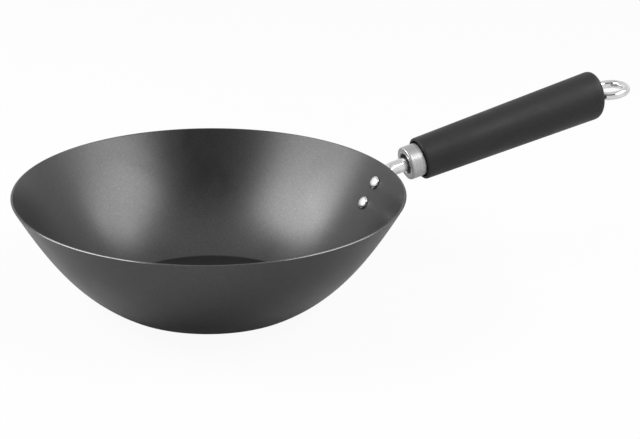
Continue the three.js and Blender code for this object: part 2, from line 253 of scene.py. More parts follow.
# %% A place on the wall, by its distance below the rim
def wall_at(drop):
    """The outside point and the upward heading of the wall, both as (radius, height)."""
    run = WALL_LENGTH - drop
    point = np.array([np.interp(run, wall_run, wall_line[:, i]) for i in range(2)])
    heading = np.array([np.interp(run, wall_run, wall_heading[:, i]) for i in range(2)])
    return point, heading / np.linalg.norm(heading)


def off_wall(drop, distance):
    """A point square to the wall; a positive distance is outside the bowl."""
    point, heading = wall_at(drop)
    return point + distance * np.array([heading[1], -heading[0]])


print("the rim leans", round(math.degrees(math.atan2(*wall_at(0)[1][::-1])), 1), "degrees from level")

# %% The bowl's whole profile
BOWL_SIDES = 240
WALL_LOOPS = 44
CORNER_STEPS = 10
RIM_STEPS = 4
FLAT_LOOPS = (0, 0.5, 0.97)
RIM_ROUND = 0.4 * MM
FACET_DROP = 0.6 * MM
FACET_ROUND = 0.12 * MM
flat_radius = BASE_RADIUS - BASE_CORNER
corner_top = wall_at(WALL_LENGTH - BASE_CORNER)[0]
base_corner = curve([(flat_radius, 0), (BASE_RADIUS, 0), corner_top], CORNER_STEPS)
drops = np.linspace(WALL_LENGTH - BASE_CORNER, 0, WALL_LOOPS + 1)[1:-1]
outside = [*base_corner, *(wall_at(drop)[0] for drop in drops)]
headings = np.gradient(np.array(outside), axis=0)
headings /= np.linalg.norm(headings, axis=1)[:, None]
inside = [point + SHEET * np.array([-way[1], way[0]]) for point, way in zip(outside, headings)]
inside = [point for point in inside if point[1] < BOWL_DEPTH - 2 * RIM_ROUND]
rim_inside = np.array([RIM_RADIUS - SHEET / math.sin(RIM_SLOPE), BOWL_DEPTH])
facet_low = wall_at(FACET_DROP)[0]
facet_rise = BOWL_DEPTH - facet_low[1]
facet_high = np.array([facet_low[0] - facet_rise, BOWL_DEPTH])
rim = soften(
    [
        (*outside[-1], 0),
        (*facet_low, FACET_ROUND),
        (*facet_high, FACET_ROUND),
        (*rim_inside, RIM_ROUND),
        (*inside[-1], 0),
    ],
    steps=RIM_STEPS,
)
under = [(share * flat_radius, 0) for share in FLAT_LOOPS]
over = [(share * flat_radius, SHEET) for share in reversed(FLAT_LOOPS)]
bowl_profile = [*under, *outside[:-1], *rim, *inside[-2::-1], *over]
print(len(bowl_profile), "loops from the middle of the underside to the middle of the cooking floor")

# %% [markdown]
# ## The rivets and their holes
# Two rivets, one above the other, hold the handle's flattened end to the wall.
# Inside the bowl each shows a low bright dome, and outside a flatter tail that was formed when it was set.
# Each rivet is turned about a line square to the wall, so its frame is made from the wall's heading.

# %% Where the rivets go
FIT = 0.3 * MM
UPPER_RIVET_DROP = 15 * MM
RIVET_SPACING = 16.4 * MM
LOWER_RIVET_DROP = UPPER_RIVET_DROP + RIVET_SPACING
TUBE_WALL = 1.2 * MM
TONGUE_THICKNESS = 2 * TUBE_WALL


def through_wall(drop):
    """A frame whose local Z points straight out through the wall, on the handle's side."""
    point, heading = wall_at(drop)
    out = Vector((heading[1], 0, -heading[0]))
    place = Matrix((out.cross(across) * -1, across, out)).transposed().to_4x4()
    place.translation = (point[0], 0, point[1])
    return place


print("upper rivet at", [round(value, 4) for value in through_wall(UPPER_RIVET_DROP).translation])

# %% Cutters for the rivet holes
SHANK_RADIUS = 2.5 * MM
HOLE_REACH = 6 * MM
HOLE_SIDES = 48
HALF_STEP = Matrix.Rotation(math.pi / HOLE_SIDES, 4, "Z")


def round_cutter(name, radius, low, high, place):
    """A plain pin, turned half a step so that none of its corners falls on an edge of the piece it cuts."""
    profile = [(0, low), (radius, low), (radius, high), (0, high)]
    return make_piece(name, *revolve(profile, HOLE_SIDES), place=place @ HALF_STEP)


def rivet_hole(drop):
    return round_cutter("rivet_hole", SHANK_RADIUS + FIT, -HOLE_REACH, HOLE_REACH, through_wall(drop))


def both_holes():
    return [rivet_hole(UPPER_RIVET_DROP), rivet_hole(LOWER_RIVET_DROP)]


print(f"the rivet holes are {2 * (SHANK_RADIUS + FIT) / MM:.1f} mm wide")


# %% Spin the bowl and cut its two holes
def cut_holes(piece, cutters):
    """Takes the cutters' shapes out of a piece, then removes the cutters."""
    for cutter in cutters:
        hole = piece.modifiers.new("hole", "BOOLEAN")
        hole.operation = "DIFFERENCE"
        hole.solver = "EXACT"
        hole.object = cutter
    bpy.context.view_layer.update()
    cut = bpy.data.meshes.new_from_object(piece.evaluated_get(bpy.context.evaluated_depsgraph_get()))
    cut.name = piece.name
    piece.modifiers.clear()
    piece.data = cut
    shade(cut)
    for cutter in cutters:
        bpy.data.objects.remove(cutter)
    print(f"{piece.name}: {len(cutters)} holes, now {len(cut.vertices)} points")


bowl = make_piece("bowl_shell", *revolve(bowl_profile, BOWL_SIDES))
cut_holes(bowl, both_holes())

# %% Mark the facet on the rim's outer corner
SECOND_FINISH = 1


def mark_second_finish(piece, belongs):
    """Gives a piece's second finish to the faces whose middle passes a test."""
    for face in piece.data.polygons:
        face.material_index = SECOND_FINISH if belongs(face.center) else 0
    marked = sum(face.material_index for face in piece.data.polygons)
    print(f"{piece.name}: {marked} faces take the second finish")


facet_edge = (facet_high[0] - FACET_ROUND) * math.cos(math.pi / BOWL_SIDES)
mark_second_finish(bowl, lambda middle: middle.z > facet_low[1] and middle.xy.length > facet_edge)

# %% Turn the rivets
HEAD_RADIUS = 4.8 * MM
HEAD_HEIGHT = 2.2 * MM
TAIL_RADIUS = 4.2 * MM
TAIL_HEIGHT = 1.6 * MM
DOME_STEPS = 16
RIVET_SIDES = 56
head_seat = -SHEET - FIT
tail_seat = 2 * FIT + TONGUE_THICKNESS
head_top = head_seat - HEAD_HEIGHT
tail_top = tail_seat + TAIL_HEIGHT
rivet_profile = [
    *curve([(0, head_top), (HEAD_RADIUS, head_top), (HEAD_RADIUS, head_seat)], DOME_STEPS),
    (SHANK_RADIUS, head_seat),
    (SHANK_RADIUS, tail_seat),
    *curve([(TAIL_RADIUS, tail_seat), (TAIL_RADIUS, tail_top), (0, tail_top)], DOME_STEPS),
]
rivets = {
    name: make_piece(f"{name}_dome", *revolve(rivet_profile, RIVET_SIDES), place=through_wall(drop))
    for name, drop in (("upper_rivet", UPPER_RIVET_DROP), ("lower_rivet", LOWER_RIVET_DROP))
}

# %% [markdown]
# ## The stem
# The stem is a steel tube. Its bowl end was pressed flat into a tongue that lies on the wall under the
# rivets. Above them it bends, stays flat just long enough to clear the wall, and has opened into a round
# tube where it comes out from behind the rim and runs on along the handle's axis.
# Flattening a cylinder by hand would leave creases. Instead one cross-section formula goes from a rounded
# bar to a circle while its middle line goes round the bend, and a skin is stretched over the sections.

# %% The stem's middle line: tongue tip, flat run, bend, flare and tube
TUBE_RADIUS = 5 * MM
TONGUE_WIDTH = math.pi * (TUBE_RADIUS - TUBE_WALL / 2) + TUBE_WALL
TONGUE_BEND_DROP = 10 * MM
TIP_MARGIN = 8 * MM
TONGUE_TIP_DROP = LOWER_RIVET_DROP + TIP_MARGIN
TIP_START = 0.05
TIP_SECTIONS = 12
FLAT_SECTIONS = 16
FLARE_START = 1.5 * MM
TUBE_FLARE = 1 * MM
GRIP_LENGTH = 145.5 * MM
GRIP_FRONT = GRIP_BACK - GRIP_LENGTH
STEM_IN_GRIP = 36 * MM
STEM_END = GRIP_FRONT + STEM_IN_GRIP
FERRULE_LENGTH = 10.8 * MM
FERRULE_FRONT = GRIP_FRONT - FIT - FERRULE_LENGTH
tongue_offset = FIT + TONGUE_THICKNESS / 2
tip_length = TONGUE_WIDTH / 2
stations = []
for share in np.linspace(math.sqrt(TIP_START), 1, TIP_SECTIONS) ** 2:
    drop = TONGUE_TIP_DROP - share * tip_length
    width = TONGUE_WIDTH * math.sqrt(1 - (1 - share) ** 2)
    stations.append((off_wall(drop, tongue_offset), wall_at(drop)[1], 1, width))
for drop in np.linspace(TONGUE_TIP_DROP - tip_length, TONGUE_BEND_DROP, FLAT_SECTIONS)[1:]:
    stations.append((off_wall(drop, tongue_offset), wall_at(drop)[1], 1, TONGUE_WIDTH))
print(len(stations), "sections lie flat on the wall")

# %% Round the bend and out along the axis
BEND_STEPS = 22
FLARE_STEPS = 3
axis_way = np.array([axis.x, axis.z])
handle_start = np.array([axis_start.x, axis_start.z])
bend_start, bend_heading = stations[-1][:2]
to_axis = handle_start - bend_start
reach = np.linalg.det([to_axis, axis_way]) / np.linalg.det([bend_heading, axis_way])
bend_corner = bend_start + reach * bend_heading
bend_end = bend_corner + reach * axis_way
bend = curve([bend_start, bend_corner, bend_end], BEND_STEPS)
bend_ways = np.gradient(bend, axis=0)
bend_run = run_along(bend)


def ease(value, low, high):
    """From 0 at low to 1 at high, with soft ends."""
    share = min(max((value - low) / (high - low), 0), 1)
    return share * share * (3 - 2 * share)


def flatness_at(run):
    return 1 - ease(run, FLARE_START, bend_run[-1] + TUBE_FLARE)


for point, way, run in list(zip(bend, bend_ways, bend_run))[1:]:
    stations.append((point, way / np.linalg.norm(way), flatness_at(run), TONGUE_WIDTH))
for share in np.linspace(0, 1, FLARE_STEPS + 1)[1:]:
    point = bend_end + share * TUBE_FLARE * axis_way
    stations.append((point, axis_way, flatness_at(bend_run[-1] + share * TUBE_FLARE), TONGUE_WIDTH))
stem_end = handle_start + STEM_END * axis_way
stations.append((stem_end, axis_way, 0, TONGUE_WIDTH))
print(f"the bend is {bend_run[-1] / MM:.1f} mm long; the tube is round {TUBE_FLARE / MM:.0f} mm after it")

# %% One cross-section, from a rounded bar to a circle
STEM_SIDES = 64
ROUND_POWER = 2
BAR_POWER = 5


def blend(a, b, share):
    return a + (b - a) * share


def signed_power(value, power):
    return math.copysign(abs(value) ** power, value)


def stem_section(point, way, flatness, width, radius=TUBE_RADIUS):
    half_width = blend(radius, width / 2, flatness)
    half_thickness = blend(radius, TONGUE_THICKNESS / 2, flatness)
    power = 2 / blend(ROUND_POWER, BAR_POWER, flatness)
    section = []
    for i in range(STEM_SIDES):
        angle = 2 * math.pi * i / STEM_SIDES
        side = half_width * signed_power(math.cos(angle), power)
        up = half_thickness * signed_power(math.sin(angle), power)
        section.append((point[0] - up * way[1], side, point[1] + up * way[0]))
    return section


sections = [stem_section(*station) for station in stations]
print(len(sections), "sections of", STEM_SIDES, "points")

# %% The tube's bore, and the finished stem
bore_radius = TUBE_RADIUS - TUBE_WALL
bore_start = handle_start + FERRULE_FRONT * axis_way
for place in (stem_end, bore_start):
    sections.append(stem_section(place, axis_way, 0, TONGUE_WIDTH, radius=bore_radius))
stem = make_piece("stem_tube", *skin(sections))
cut_holes(stem, both_holes())

# %% [markdown]
# ## The ferrule
# A steel collar closes the gap between the thin stem and the thick grip. Its front is sunk round the stem.
# Its mouth's faces are marked for a very dark metal, painted shade for the shadow in that recess, so they
# show as a dark ring.
# A spigot at its back, out of sight, centres it in the grip.
# It is a turned piece on the real wok, so it is turned here too, with small rounds on its edges:
# without them a metal edge catches no light and looks like paper.

# %% Turn the ferrule
ROUND_SIDES = 128
FERRULE_BACK = GRIP_FRONT - FIT
FERRULE_RADIUS = 12 * MM
FERRULE_ROUND = 1.2 * MM
FERRULE_LIP = 4.2 * MM
MOUTH_RADIUS = FERRULE_RADIUS - FERRULE_LIP
DISH_DEPTH = 4 * MM
SMALL_ROUND = 0.4 * MM
stem_clearance = TUBE_RADIUS + FIT
SPIGOT_WALL = 2.6 * MM
SPIGOT_RADIUS = stem_clearance + SPIGOT_WALL
SPIGOT_LENGTH = 6 * MM
SPIGOT_END = FERRULE_BACK + SPIGOT_LENGTH
ferrule_profile = soften(
    [
        (stem_clearance, SPIGOT_END, 0),
        (stem_clearance, FERRULE_FRONT + DISH_DEPTH, SMALL_ROUND),
        (MOUTH_RADIUS, FERRULE_FRONT, SMALL_ROUND),
        (FERRULE_RADIUS, FERRULE_FRONT, FERRULE_ROUND),
        (FERRULE_RADIUS, FERRULE_BACK, SMALL_ROUND),
        (SPIGOT_RADIUS, FERRULE_BACK, 0),
        (SPIGOT_RADIUS, SPIGOT_END, SMALL_ROUND),
    ]
)
ferrule = make_piece("ferrule_collar", *revolve(ferrule_profile, ROUND_SIDES, ring=True), place=HANDLE)
# The mouth's faces take the second finish, a near-black metal that paints the recess's shade.
mark_second_finish(ferrule, lambda middle: middle.xy.length < MOUTH_RADIUS - SMALL_ROUND)

# %% [markdown]
# ## The grip
# The grip is one black plastic moulding, a little thicker at its free end, with rounded ends.
# In its front face a narrow ring is sunk round the ferrule, which shows as a fine dark line.
# Its rear end isn't quite square to the axis: the top reaches further than the underside.
# A bent or sheared copy would spoil the roundness, so the profile is spun first and the points near the
# rear end are then slid along the axis, more the nearer they are to the end.

# %% The grip's profile, outside and bores
GRIP_FRONT_RADIUS = 15.2 * MM
GRIP_REAR_RADIUS = 17.5 * MM
GRIP_FRONT_ROUND = 1.1 * MM
RING_WIDTH = 1.3 * MM
RING_DEPTH = 3 * MM
GRIP_REAR_ROUND = 5 * MM
GRIP_ROUND_STEPS = 12
WIRE_RADIUS = 3 * MM
LEG_OFFSET = 6.2 * MM
LEG_DEPTH = 3.5 * MM
BOSS_EDGE = 1 * MM
BOSS_FLOOR = 1.4 * MM
BOSS_RADIUS = LEG_OFFSET + WIRE_RADIUS + FIT + BOSS_EDGE
BOSS_FRONT = GRIP_BACK - LEG_DEPTH - FIT - BOSS_FLOOR
WASHER_THICKNESS = 1.3 * MM
WASHER_FRONT = BOSS_FRONT - FIT - WASHER_THICKNESS
PLUG_FLANGE = 2 * MM
PLUG_END = STEM_END + FIT + PLUG_FLANGE
BOLT_RADIUS = 2.5 * MM
boss_socket = BOSS_RADIUS + FIT
BOLT_PLAY = 0.75 * MM
bolt_bore = BOLT_RADIUS + BOLT_PLAY
ring_radius = FERRULE_RADIUS + RING_WIDTH
grip_profile = soften(
    [
        (SPIGOT_RADIUS + FIT, GRIP_FRONT + RING_DEPTH, 0),
        (ring_radius, GRIP_FRONT + RING_DEPTH, 0),
        (ring_radius, GRIP_FRONT, SMALL_ROUND / 2),
        (GRIP_FRONT_RADIUS, GRIP_FRONT, GRIP_FRONT_ROUND),
        (GRIP_REAR_RADIUS, GRIP_BACK, GRIP_REAR_ROUND),
        (boss_socket, GRIP_BACK, SMALL_ROUND),
        (boss_socket, WASHER_FRONT - FIT, 0),
        (bolt_bore, WASHER_FRONT - FIT, 0),
        (bolt_bore, PLUG_END + FIT, 0),
        (stem_clearance, PLUG_END + FIT, 0),
        (stem_clearance, SPIGOT_END + FIT, 0),
        (SPIGOT_RADIUS + FIT, SPIGOT_END + FIT, 0),
    ],
    steps=GRIP_ROUND_STEPS,
)
print(f"the grip is {GRIP_LENGTH / MM:.1f} mm long and {2 * GRIP_REAR_RADIUS / MM:.0f} mm thick at its end")


# %% A shape built on the handle's axis, moved to its place in the wok
def in_place(shape):
    """Moves the points themselves, so that the piece's own box is square to the wok's."""
    points, faces = shape
    return [tuple(HANDLE @ Vector(point)) for point in points], faces


print("the handle's own frame starts at", [round(value, 4) for value in HANDLE.translation])


# %% Spin the grip and lean its rear end
END_LEAN = math.tan(math.radians(8))
LEAN_LENGTH = 60 * MM
FULL_LEAN_LENGTH = 7 * MM
LIP_DEPTH = 1 * MM


def lean(point):
    x, y, along = point
    is_outside = math.hypot(x, y) > boss_socket + SMALL_ROUND
    if not (is_outside or along > GRIP_BACK - LIP_DEPTH):
        return point
    return x, y, along - x * END_LEAN * ease(along, GRIP_BACK - LEAN_LENGTH, GRIP_BACK - FULL_LEAN_LENGTH)


grip_points, grip_faces = revolve(grip_profile, ROUND_SIDES, ring=True)
grip = make_piece("grip_moulding", *in_place(([lean(point) for point in grip_points], grip_faces)))

# %% [markdown]
# ## The bolt, its washer and the hanging loop
# A long bolt runs through the grip and screws into a plug in the stem's end, which is what holds the
# handle together. The bolt's boss is sunk in the grip's end, with a split spring washer under it, and
# carries a bent wire loop: the loop hangs the wok on a hook, and turning it tightens the handle.
# The boss is turned and its two holes cut. The washer and the loop are skins over sections that follow
# an arc and a bent line, which keeps the wire's thickness even round its bends.

# %% Turn the bolt and cut the holes for the loop's legs
THREAD_LENGTH = 8 * MM
BOLT_TIP = PLUG_END - THREAD_LENGTH
BOLT_CHAMFER = 0.8 * MM
bolt_profile = soften(
    [
        (0, BOLT_TIP, 0),
        (BOLT_RADIUS - BOLT_CHAMFER, BOLT_TIP, 0),
        (BOLT_RADIUS, BOLT_TIP + BOLT_CHAMFER, 0),
        (BOLT_RADIUS, BOSS_FRONT, 0),
        (BOSS_RADIUS, BOSS_FRONT, SMALL_ROUND),
        (BOSS_RADIUS, GRIP_BACK, SMALL_ROUND),
        (0, GRIP_BACK, 0),
    ]
)
bolt = make_piece("bolt_and_boss", *revolve(bolt_profile, ROUND_SIDES), place=HANDLE)
hole_floor = GRIP_BACK - LEG_DEPTH - FIT
hole_top = GRIP_BACK + LEG_DEPTH
leg_places = [HANDLE @ Matrix.Translation((0, side * LEG_OFFSET, 0)) for side in (-1, 1)]
cut_holes(
    bolt,
    [round_cutter("leg_hole", WIRE_RADIUS + FIT, hole_floor, hole_top, place) for place in leg_places],
)

# %% Bend the spring washer
WASHER_INNER = BOLT_RADIUS + FIT
WASHER_WIDTH = 2 * MM
WASHER_SPLIT = 1.2 * MM
WASHER_EDGE = 0.2 * MM
WASHER_EDGE_STEPS = 2
WASHER_SECTIONS = 72
split_half = math.asin(WASHER_SPLIT / 2 / (WASHER_INNER + WASHER_WIDTH / 2))
washer_back = WASHER_FRONT + WASHER_THICKNESS
washer_outer = WASHER_INNER + WASHER_WIDTH
washer_section = soften(
    [
        (WASHER_INNER, WASHER_FRONT, WASHER_EDGE),
        (washer_outer, WASHER_FRONT, WASHER_EDGE),
        (washer_outer, washer_back, WASHER_EDGE),
        (WASHER_INNER, washer_back, WASHER_EDGE),
    ],
    steps=WASHER_EDGE_STEPS,
)
washer_sections = [
    [(radius * math.cos(angle), radius * math.sin(angle), along) for radius, along in washer_section]
    for angle in np.linspace(split_half, 2 * math.pi - split_half, WASHER_SECTIONS)
]
washer = make_piece("washer_ring", *skin(washer_sections), place=HANDLE)

# %% The loop's line: a straight leg, a small bend outwards and the big round
LOOP_RADIUS = 12 * MM
LOOP_REACH = 12.4 * MM
LEG_BEND = 4 * MM
LOOP_DROOP = math.tan(math.radians(5))
LEG_POINTS = 7
BEND_POINTS = 14
ROUND_POINTS = 50
loop_middle = GRIP_BACK + LOOP_REACH
bend_side = LEG_OFFSET + LEG_BEND
bend_along = loop_middle - math.sqrt((LOOP_RADIUS + LEG_BEND) ** 2 - bend_side**2)
bend_turn = math.atan2(bend_side, loop_middle - bend_along)
leg = np.linspace(GRIP_BACK - LEG_DEPTH, bend_along, LEG_POINTS)
half_line = [(along, LEG_OFFSET) for along in leg[:-1]]
for angle in np.linspace(-math.pi / 2, -bend_turn, BEND_POINTS)[:-1]:
    half_line.append((bend_along + LEG_BEND * math.cos(angle), bend_side + LEG_BEND * math.sin(angle)))
for angle in np.linspace(math.pi - bend_turn, 0, ROUND_POINTS):
    half_line.append((loop_middle + LOOP_RADIUS * math.cos(angle), LOOP_RADIUS * math.sin(angle)))
loop_line = half_line + [(along, -side) for along, side in reversed(half_line[:-1])]
loop_line = np.array(
    [(max(along - GRIP_BACK, 0) * LOOP_DROOP, side, along) for along, side in loop_line]
)
print(len(loop_line), "points along the wire")

# %% Sweep the wire round its line
WIRE_SIDES = 32
loop_ways = np.gradient(loop_line, axis=0)
loop_sections = []
for middle, way in zip(loop_line, loop_ways):
    way = Vector(way).normalized()
    first = (Vector((1, 0, 0)) - way * way.x).normalized()
    second = way.cross(first)
    turns = [2 * math.pi * i / WIRE_SIDES for i in range(WIRE_SIDES)]
    ring = [WIRE_RADIUS * (first * math.cos(turn) + second * math.sin(turn)) for turn in turns]
    loop_sections.append([Vector(middle) + spoke for spoke in ring])
loop = make_piece("loop_wire", *in_place(skin(loop_sections)))

# %% [markdown]
# ## Ways to lay a finish
# A material here is a small network of nodes: textures make masks and heights, and one Principled shader
# turns them into a surface. Three effects come back on several pieces, so each is a node group that is
# built once and placed in each material with its own sizes. All textures use object coordinates in
# metres, so a grain of half a millimetre stays that size on every piece and moves with it.


# %% Short ways to add nodes
def add_node(tree, kind, inputs=None, **settings):
    """A node with its settings; an input is either a value or the socket of another node."""
    node = tree.nodes.new(kind)
    for name, value in settings.items():
        setattr(node, name, value)
    for name, value in (inputs or {}).items():
        if isinstance(value, bpy.types.NodeSocket):
            tree.links.new(value, node.inputs[name])
        else:
            node.inputs[name].default_value = value
    return node


def new_group(name, sizes, outputs):
    """An empty node group that takes a place and named sizes, and its two end nodes."""
    group = bpy.data.node_groups.new(name, "ShaderNodeTree")
    group.interface.new_socket("Vector", in_out="INPUT", socket_type="NodeSocketVector")
    for label, start in sizes.items():
        socket = group.interface.new_socket(label, in_out="INPUT", socket_type="NodeSocketFloat")
        socket.default_value = start
    for label in outputs:
        group.interface.new_socket(label, in_out="OUTPUT", socket_type="NodeSocketFloat")
    return group, group.nodes.new("NodeGroupInput"), group.nodes.new("NodeGroupOutput")


def math_node(tree, operation, first, second):
    """One sum on two values or sockets."""
    return add_node(tree, "ShaderNodeMath", {0: first, 1: second}, operation=operation).outputs[0]


def stretch(tree, value, low, high, to_low=0.0, to_high=1.0):
    """Stretches the part of a value between low and high, with soft ends."""
    inputs = {"Value": value, "From Min": low, "From Max": high, "To Min": to_low, "To Max": to_high}
    return add_node(tree, "ShaderNodeMapRange", inputs, interpolation_type="SMOOTHSTEP").outputs[0]


def noise(tree, place, size, **inputs):
    """A noise whose spots are about as large as a size in metres."""
    inputs = {"Vector": place, "Scale": math_node(tree, "DIVIDE", 1.0, size), **inputs}
    return add_node(tree, "ShaderNodeTexNoise", inputs).outputs["Fac"]


print("node groups so far:", len(bpy.data.node_groups))


# %% [markdown]
# ### Grain
# The coat is sprayed on and holds tiny bright flakes, and the plastic takes a fine dull grain from its
# mould. Both are the same idea: small cells, each with its own shade, and a soft bumpiness between them.
# A Voronoi texture gives the cells and a noise texture the bumps, both at a size in metres.

# %% The grain group
grain_group, taken, given = new_group(
    "Grain", {"Flake Size": 0.5 * MM, "Bump Size": 0.6 * MM}, ["Flake", "Height"]
)
place, flake_size, bump_size = taken.outputs[:3]
flake_scale = math_node(grain_group, "DIVIDE", 1.0, flake_size)
flakes = add_node(grain_group, "ShaderNodeTexVoronoi", {"Vector": place, "Scale": flake_scale})
flake_shade = add_node(grain_group, "ShaderNodeSeparateColor", {"Color": flakes.outputs["Color"]})
bumps = noise(grain_group, place, bump_size, Detail=3.0, Roughness=0.6)
grain_group.links.new(flake_shade.outputs["Red"], given.inputs["Flake"])
grain_group.links.new(bumps, given.inputs["Height"])
print("node group Grain:", len(grain_group.nodes), "nodes")

# %% [markdown]
# ### Handling marks
# A wok that has been picked up and wiped shows soft smears where fingers and cloths have been, and a few
# hair-fine scratches. Smears are a large, slow noise. Scratches are a noise drawn out into threads: its
# coordinates shrink fifty times or more in one direction, and only the narrow crests are kept.

# %% The handling marks group
SMEAR_SPAN = (0.38, 0.68)
CREST_SPAN = (0.70, 0.78)
SCRATCH_WAYS = (((0.35, 0.2, 0.6), 0.012), ((1.1, -0.5, 2.1), 0.02))
marks_group, taken, given = new_group(
    "Handling marks", {"Smear Size": 30 * MM, "Scratch Size": 0.6 * MM}, ["Smear", "Scratch"]
)
place, smear_size, scratch_size = taken.outputs[:3]
smear = stretch(marks_group, noise(marks_group, place, smear_size, Detail=4.0, Distortion=0.6), *SMEAR_SPAN)
scratches = []
for turn, squeeze in SCRATCH_WAYS:
    drawn_out = {"Vector": place, "Rotation": turn, "Scale": (1.0, squeeze, 1.0)}
    thread_place = add_node(marks_group, "ShaderNodeMapping", drawn_out).outputs["Vector"]
    threads = noise(marks_group, thread_place, scratch_size, Detail=1.0)
    scratches.append(stretch(marks_group, threads, *CREST_SPAN))
marks_group.links.new(smear, given.inputs["Smear"])
marks_group.links.new(math_node(marks_group, "MAXIMUM", *scratches), given.inputs["Scratch"])
print("node group Handling marks:", len(marks_group.nodes), "nodes")

# %% [markdown]
# ### Turned lines
# A piece cut or polished on a lathe keeps fine lines that run round its axis. Along such a line both the
# distance from the axis and the place along it stay the same, so a noise of just those two numbers
# is constant round the piece and changes quickly across it: that is the whole trick.

# %% The turned lines group
turned_group, taken, given = new_group("Turned lines", {"Line Width": 0.2 * MM}, ["Line"])
place, line_width = taken.outputs[:2]
x, y, along = add_node(turned_group, "ShaderNodeSeparateXYZ", {"Vector": place}).outputs
flat_place = add_node(turned_group, "ShaderNodeCombineXYZ", {"X": x, "Y": y}).outputs["Vector"]
from_axis = add_node(turned_group, "ShaderNodeVectorMath", {0: flat_place}, operation="LENGTH")
line_place = add_node(turned_group, "ShaderNodeCombineXYZ", {"X": from_axis.outputs["Value"], "Y": along})
lines = noise(turned_group, line_place.outputs["Vector"], line_width, Detail=4.0, Roughness=0.65)
turned_group.links.new(lines, given.inputs["Line"])
print("node group Turned lines:", len(turned_group.nodes), "nodes")

# %% [markdown]
# ## The finishes
# Each finish starts from the same three nodes: object coordinates, a Principled shader and the output.
# What stays the same all over a surface, such as the metal's metalness, is typed into the shader, and
# only what changes from place to place comes through a wire.


# %% A fresh material, and how its masks become colours and bumps
def new_finish(name, **constants):
    """A material with a Principled shader whose constant values are set on its own sockets."""
    material = bpy.data.materials.new(name)
    material.use_nodes = True
    tree = material.node_tree
    tree.nodes.clear()
    end = add_node(tree, "ShaderNodeOutputMaterial")
    shader = add_node(tree, "ShaderNodeBsdfPrincipled")
    for label, value in constants.items():
        shader.inputs[label.replace("_", " ")].default_value = value
    tree.links.new(shader.outputs["BSDF"], end.inputs["Surface"])
    place = add_node(tree, "ShaderNodeTexCoord").outputs["Object"]
    return material, tree, shader, place


def use_group(tree, group, place, **sizes):
    values = {label.replace("_", " "): size for label, size in sizes.items()}
    return add_node(tree, "ShaderNodeGroup", {"Vector": place, **values}, node_tree=group).outputs


def two_colours(tree, mask, low, high):
    """A colour that goes from low to high with a mask."""
    ramp = add_node(tree, "ShaderNodeValToRGB", {"Fac": mask})
    for stop, colour in zip(ramp.color_ramp.elements, (low, high)):
        stop.color = (*colour, 1.0)
    return ramp.outputs["Color"]


def grey(level):
    return level, level, level


def set_colour(tree, shader, mask, low, high):
    tree.links.new(two_colours(tree, mask, low, high), shader.inputs["Base Color"])


def set_roughness(tree, shader, mask, span, roughness):
    """A roughness that goes from its first to its second value while a mask goes through a span."""
    tree.links.new(stretch(tree, mask, *span, *roughness), shader.inputs["Roughness"])


def set_bump(tree, shader, height, depth):
    bump = add_node(tree, "ShaderNodeBump", {"Height": height, "Distance": depth, "Strength": 1.0})
    tree.links.new(bump.outputs["Normal"], shader.inputs["Normal"])


WHOLE = (0.0, 1.0)
print("materials that came with the packed model:", len(bpy.data.materials))


# %% [markdown]
# ### The dark coat
# The bowl wears a sprayed non-stick coat: charcoal, a little metallic, satin and faintly sparkling.
# Paint it as plain dark grey and it dies in the light. What makes it read as a wok is that it mirrors the
# studio weakly and softly, so it is a dark metal here, broken up by flakes that are lighter and by
# smears that shine a bit more or less.

# %% The dark coat
COAT_DARK = (0.0745, 0.0756, 0.0747)
COAT_FLAKE = (0.0960, 0.0972, 0.0958)
FLAKE_SPAN = (0.45, 1.0)
COAT_ROUGHNESS = (0.36, 0.32)
COAT_BUMPS = 0.008 * MM
dark_coat, tree, shader, place = new_finish("dark_coat", Metallic=1.0)
grain = use_group(tree, grain_group, place, Flake_Size=0.4 * MM, Bump_Size=0.4 * MM)
marks = use_group(tree, marks_group, place, Smear_Size=60 * MM)
set_colour(tree, shader, stretch(tree, grain["Flake"], *FLAKE_SPAN), COAT_DARK, COAT_FLAKE)
set_roughness(tree, shader, marks["Smear"], WHOLE, COAT_ROUGHNESS)
set_bump(tree, shader, grain["Height"], COAT_BUMPS)
print("finish dark_coat:", len(tree.nodes), "nodes")

# %% [markdown]
# ### The rubbed edge
# A freshly cut rim is sharp, so its outer corner is taken off at a slant before the bowl is coated. The coat
# lies thin on that facet and is rubbed smooth by spatulas and cloths. Being flat, the facet mirrors one
# place in the room at a time, so it is a bright hairline only where that place is a lamp; a rounded corner
# would mirror the whole room at once and be grey all along. The fine marks on it run along the rim,
# which makes them turned lines about the bowl's own axis. Other metals on the wok have such lines too, so
# a function lays this finish.

# %% The rubbed edge
EDGE_DARK = (0.085, 0.085, 0.084)
EDGE_LIGHT = (0.155, 0.155, 0.153)
RING_BUMPS = 0.01 * MM


def ringed_metal(name, colours, roughness, line_width, smear_size):
    """A metal whose shade follows turned lines and whose gloss follows smears."""
    material, tree, shader, place = new_finish(name, Metallic=1.0)
    lines = use_group(tree, turned_group, place, Line_Width=line_width)
    marks = use_group(tree, marks_group, place, Smear_Size=smear_size)
    set_colour(tree, shader, lines["Line"], *colours)
    set_roughness(tree, shader, marks["Smear"], WHOLE, roughness)
    set_bump(tree, shader, lines["Line"], RING_BUMPS)
    print(f"finish {name}:", len(tree.nodes), "nodes")
    return material


rubbed_edge = ringed_metal("rubbed_edge", (EDGE_DARK, EDGE_LIGHT), (0.22, 0.30), 0.15 * MM, 12 * MM)

# %% [markdown]
# ### Bright steel
# The stem and the loop are polished until they mirror the room, the wire of the loop more sharply than the
# tube. A perfect mirror looks false, because real polish keeps a trace of handling: smears dull it
# slightly and hair scratches catch the light. One function makes both, each with its own roughness.

# %% Bright steel
BRIGHT = grey(0.80)
BRIGHT_DULL = grey(0.70)
DULLED_SPAN = (0.0, 1.6)
SCRATCH_BUMPS = -0.008 * MM


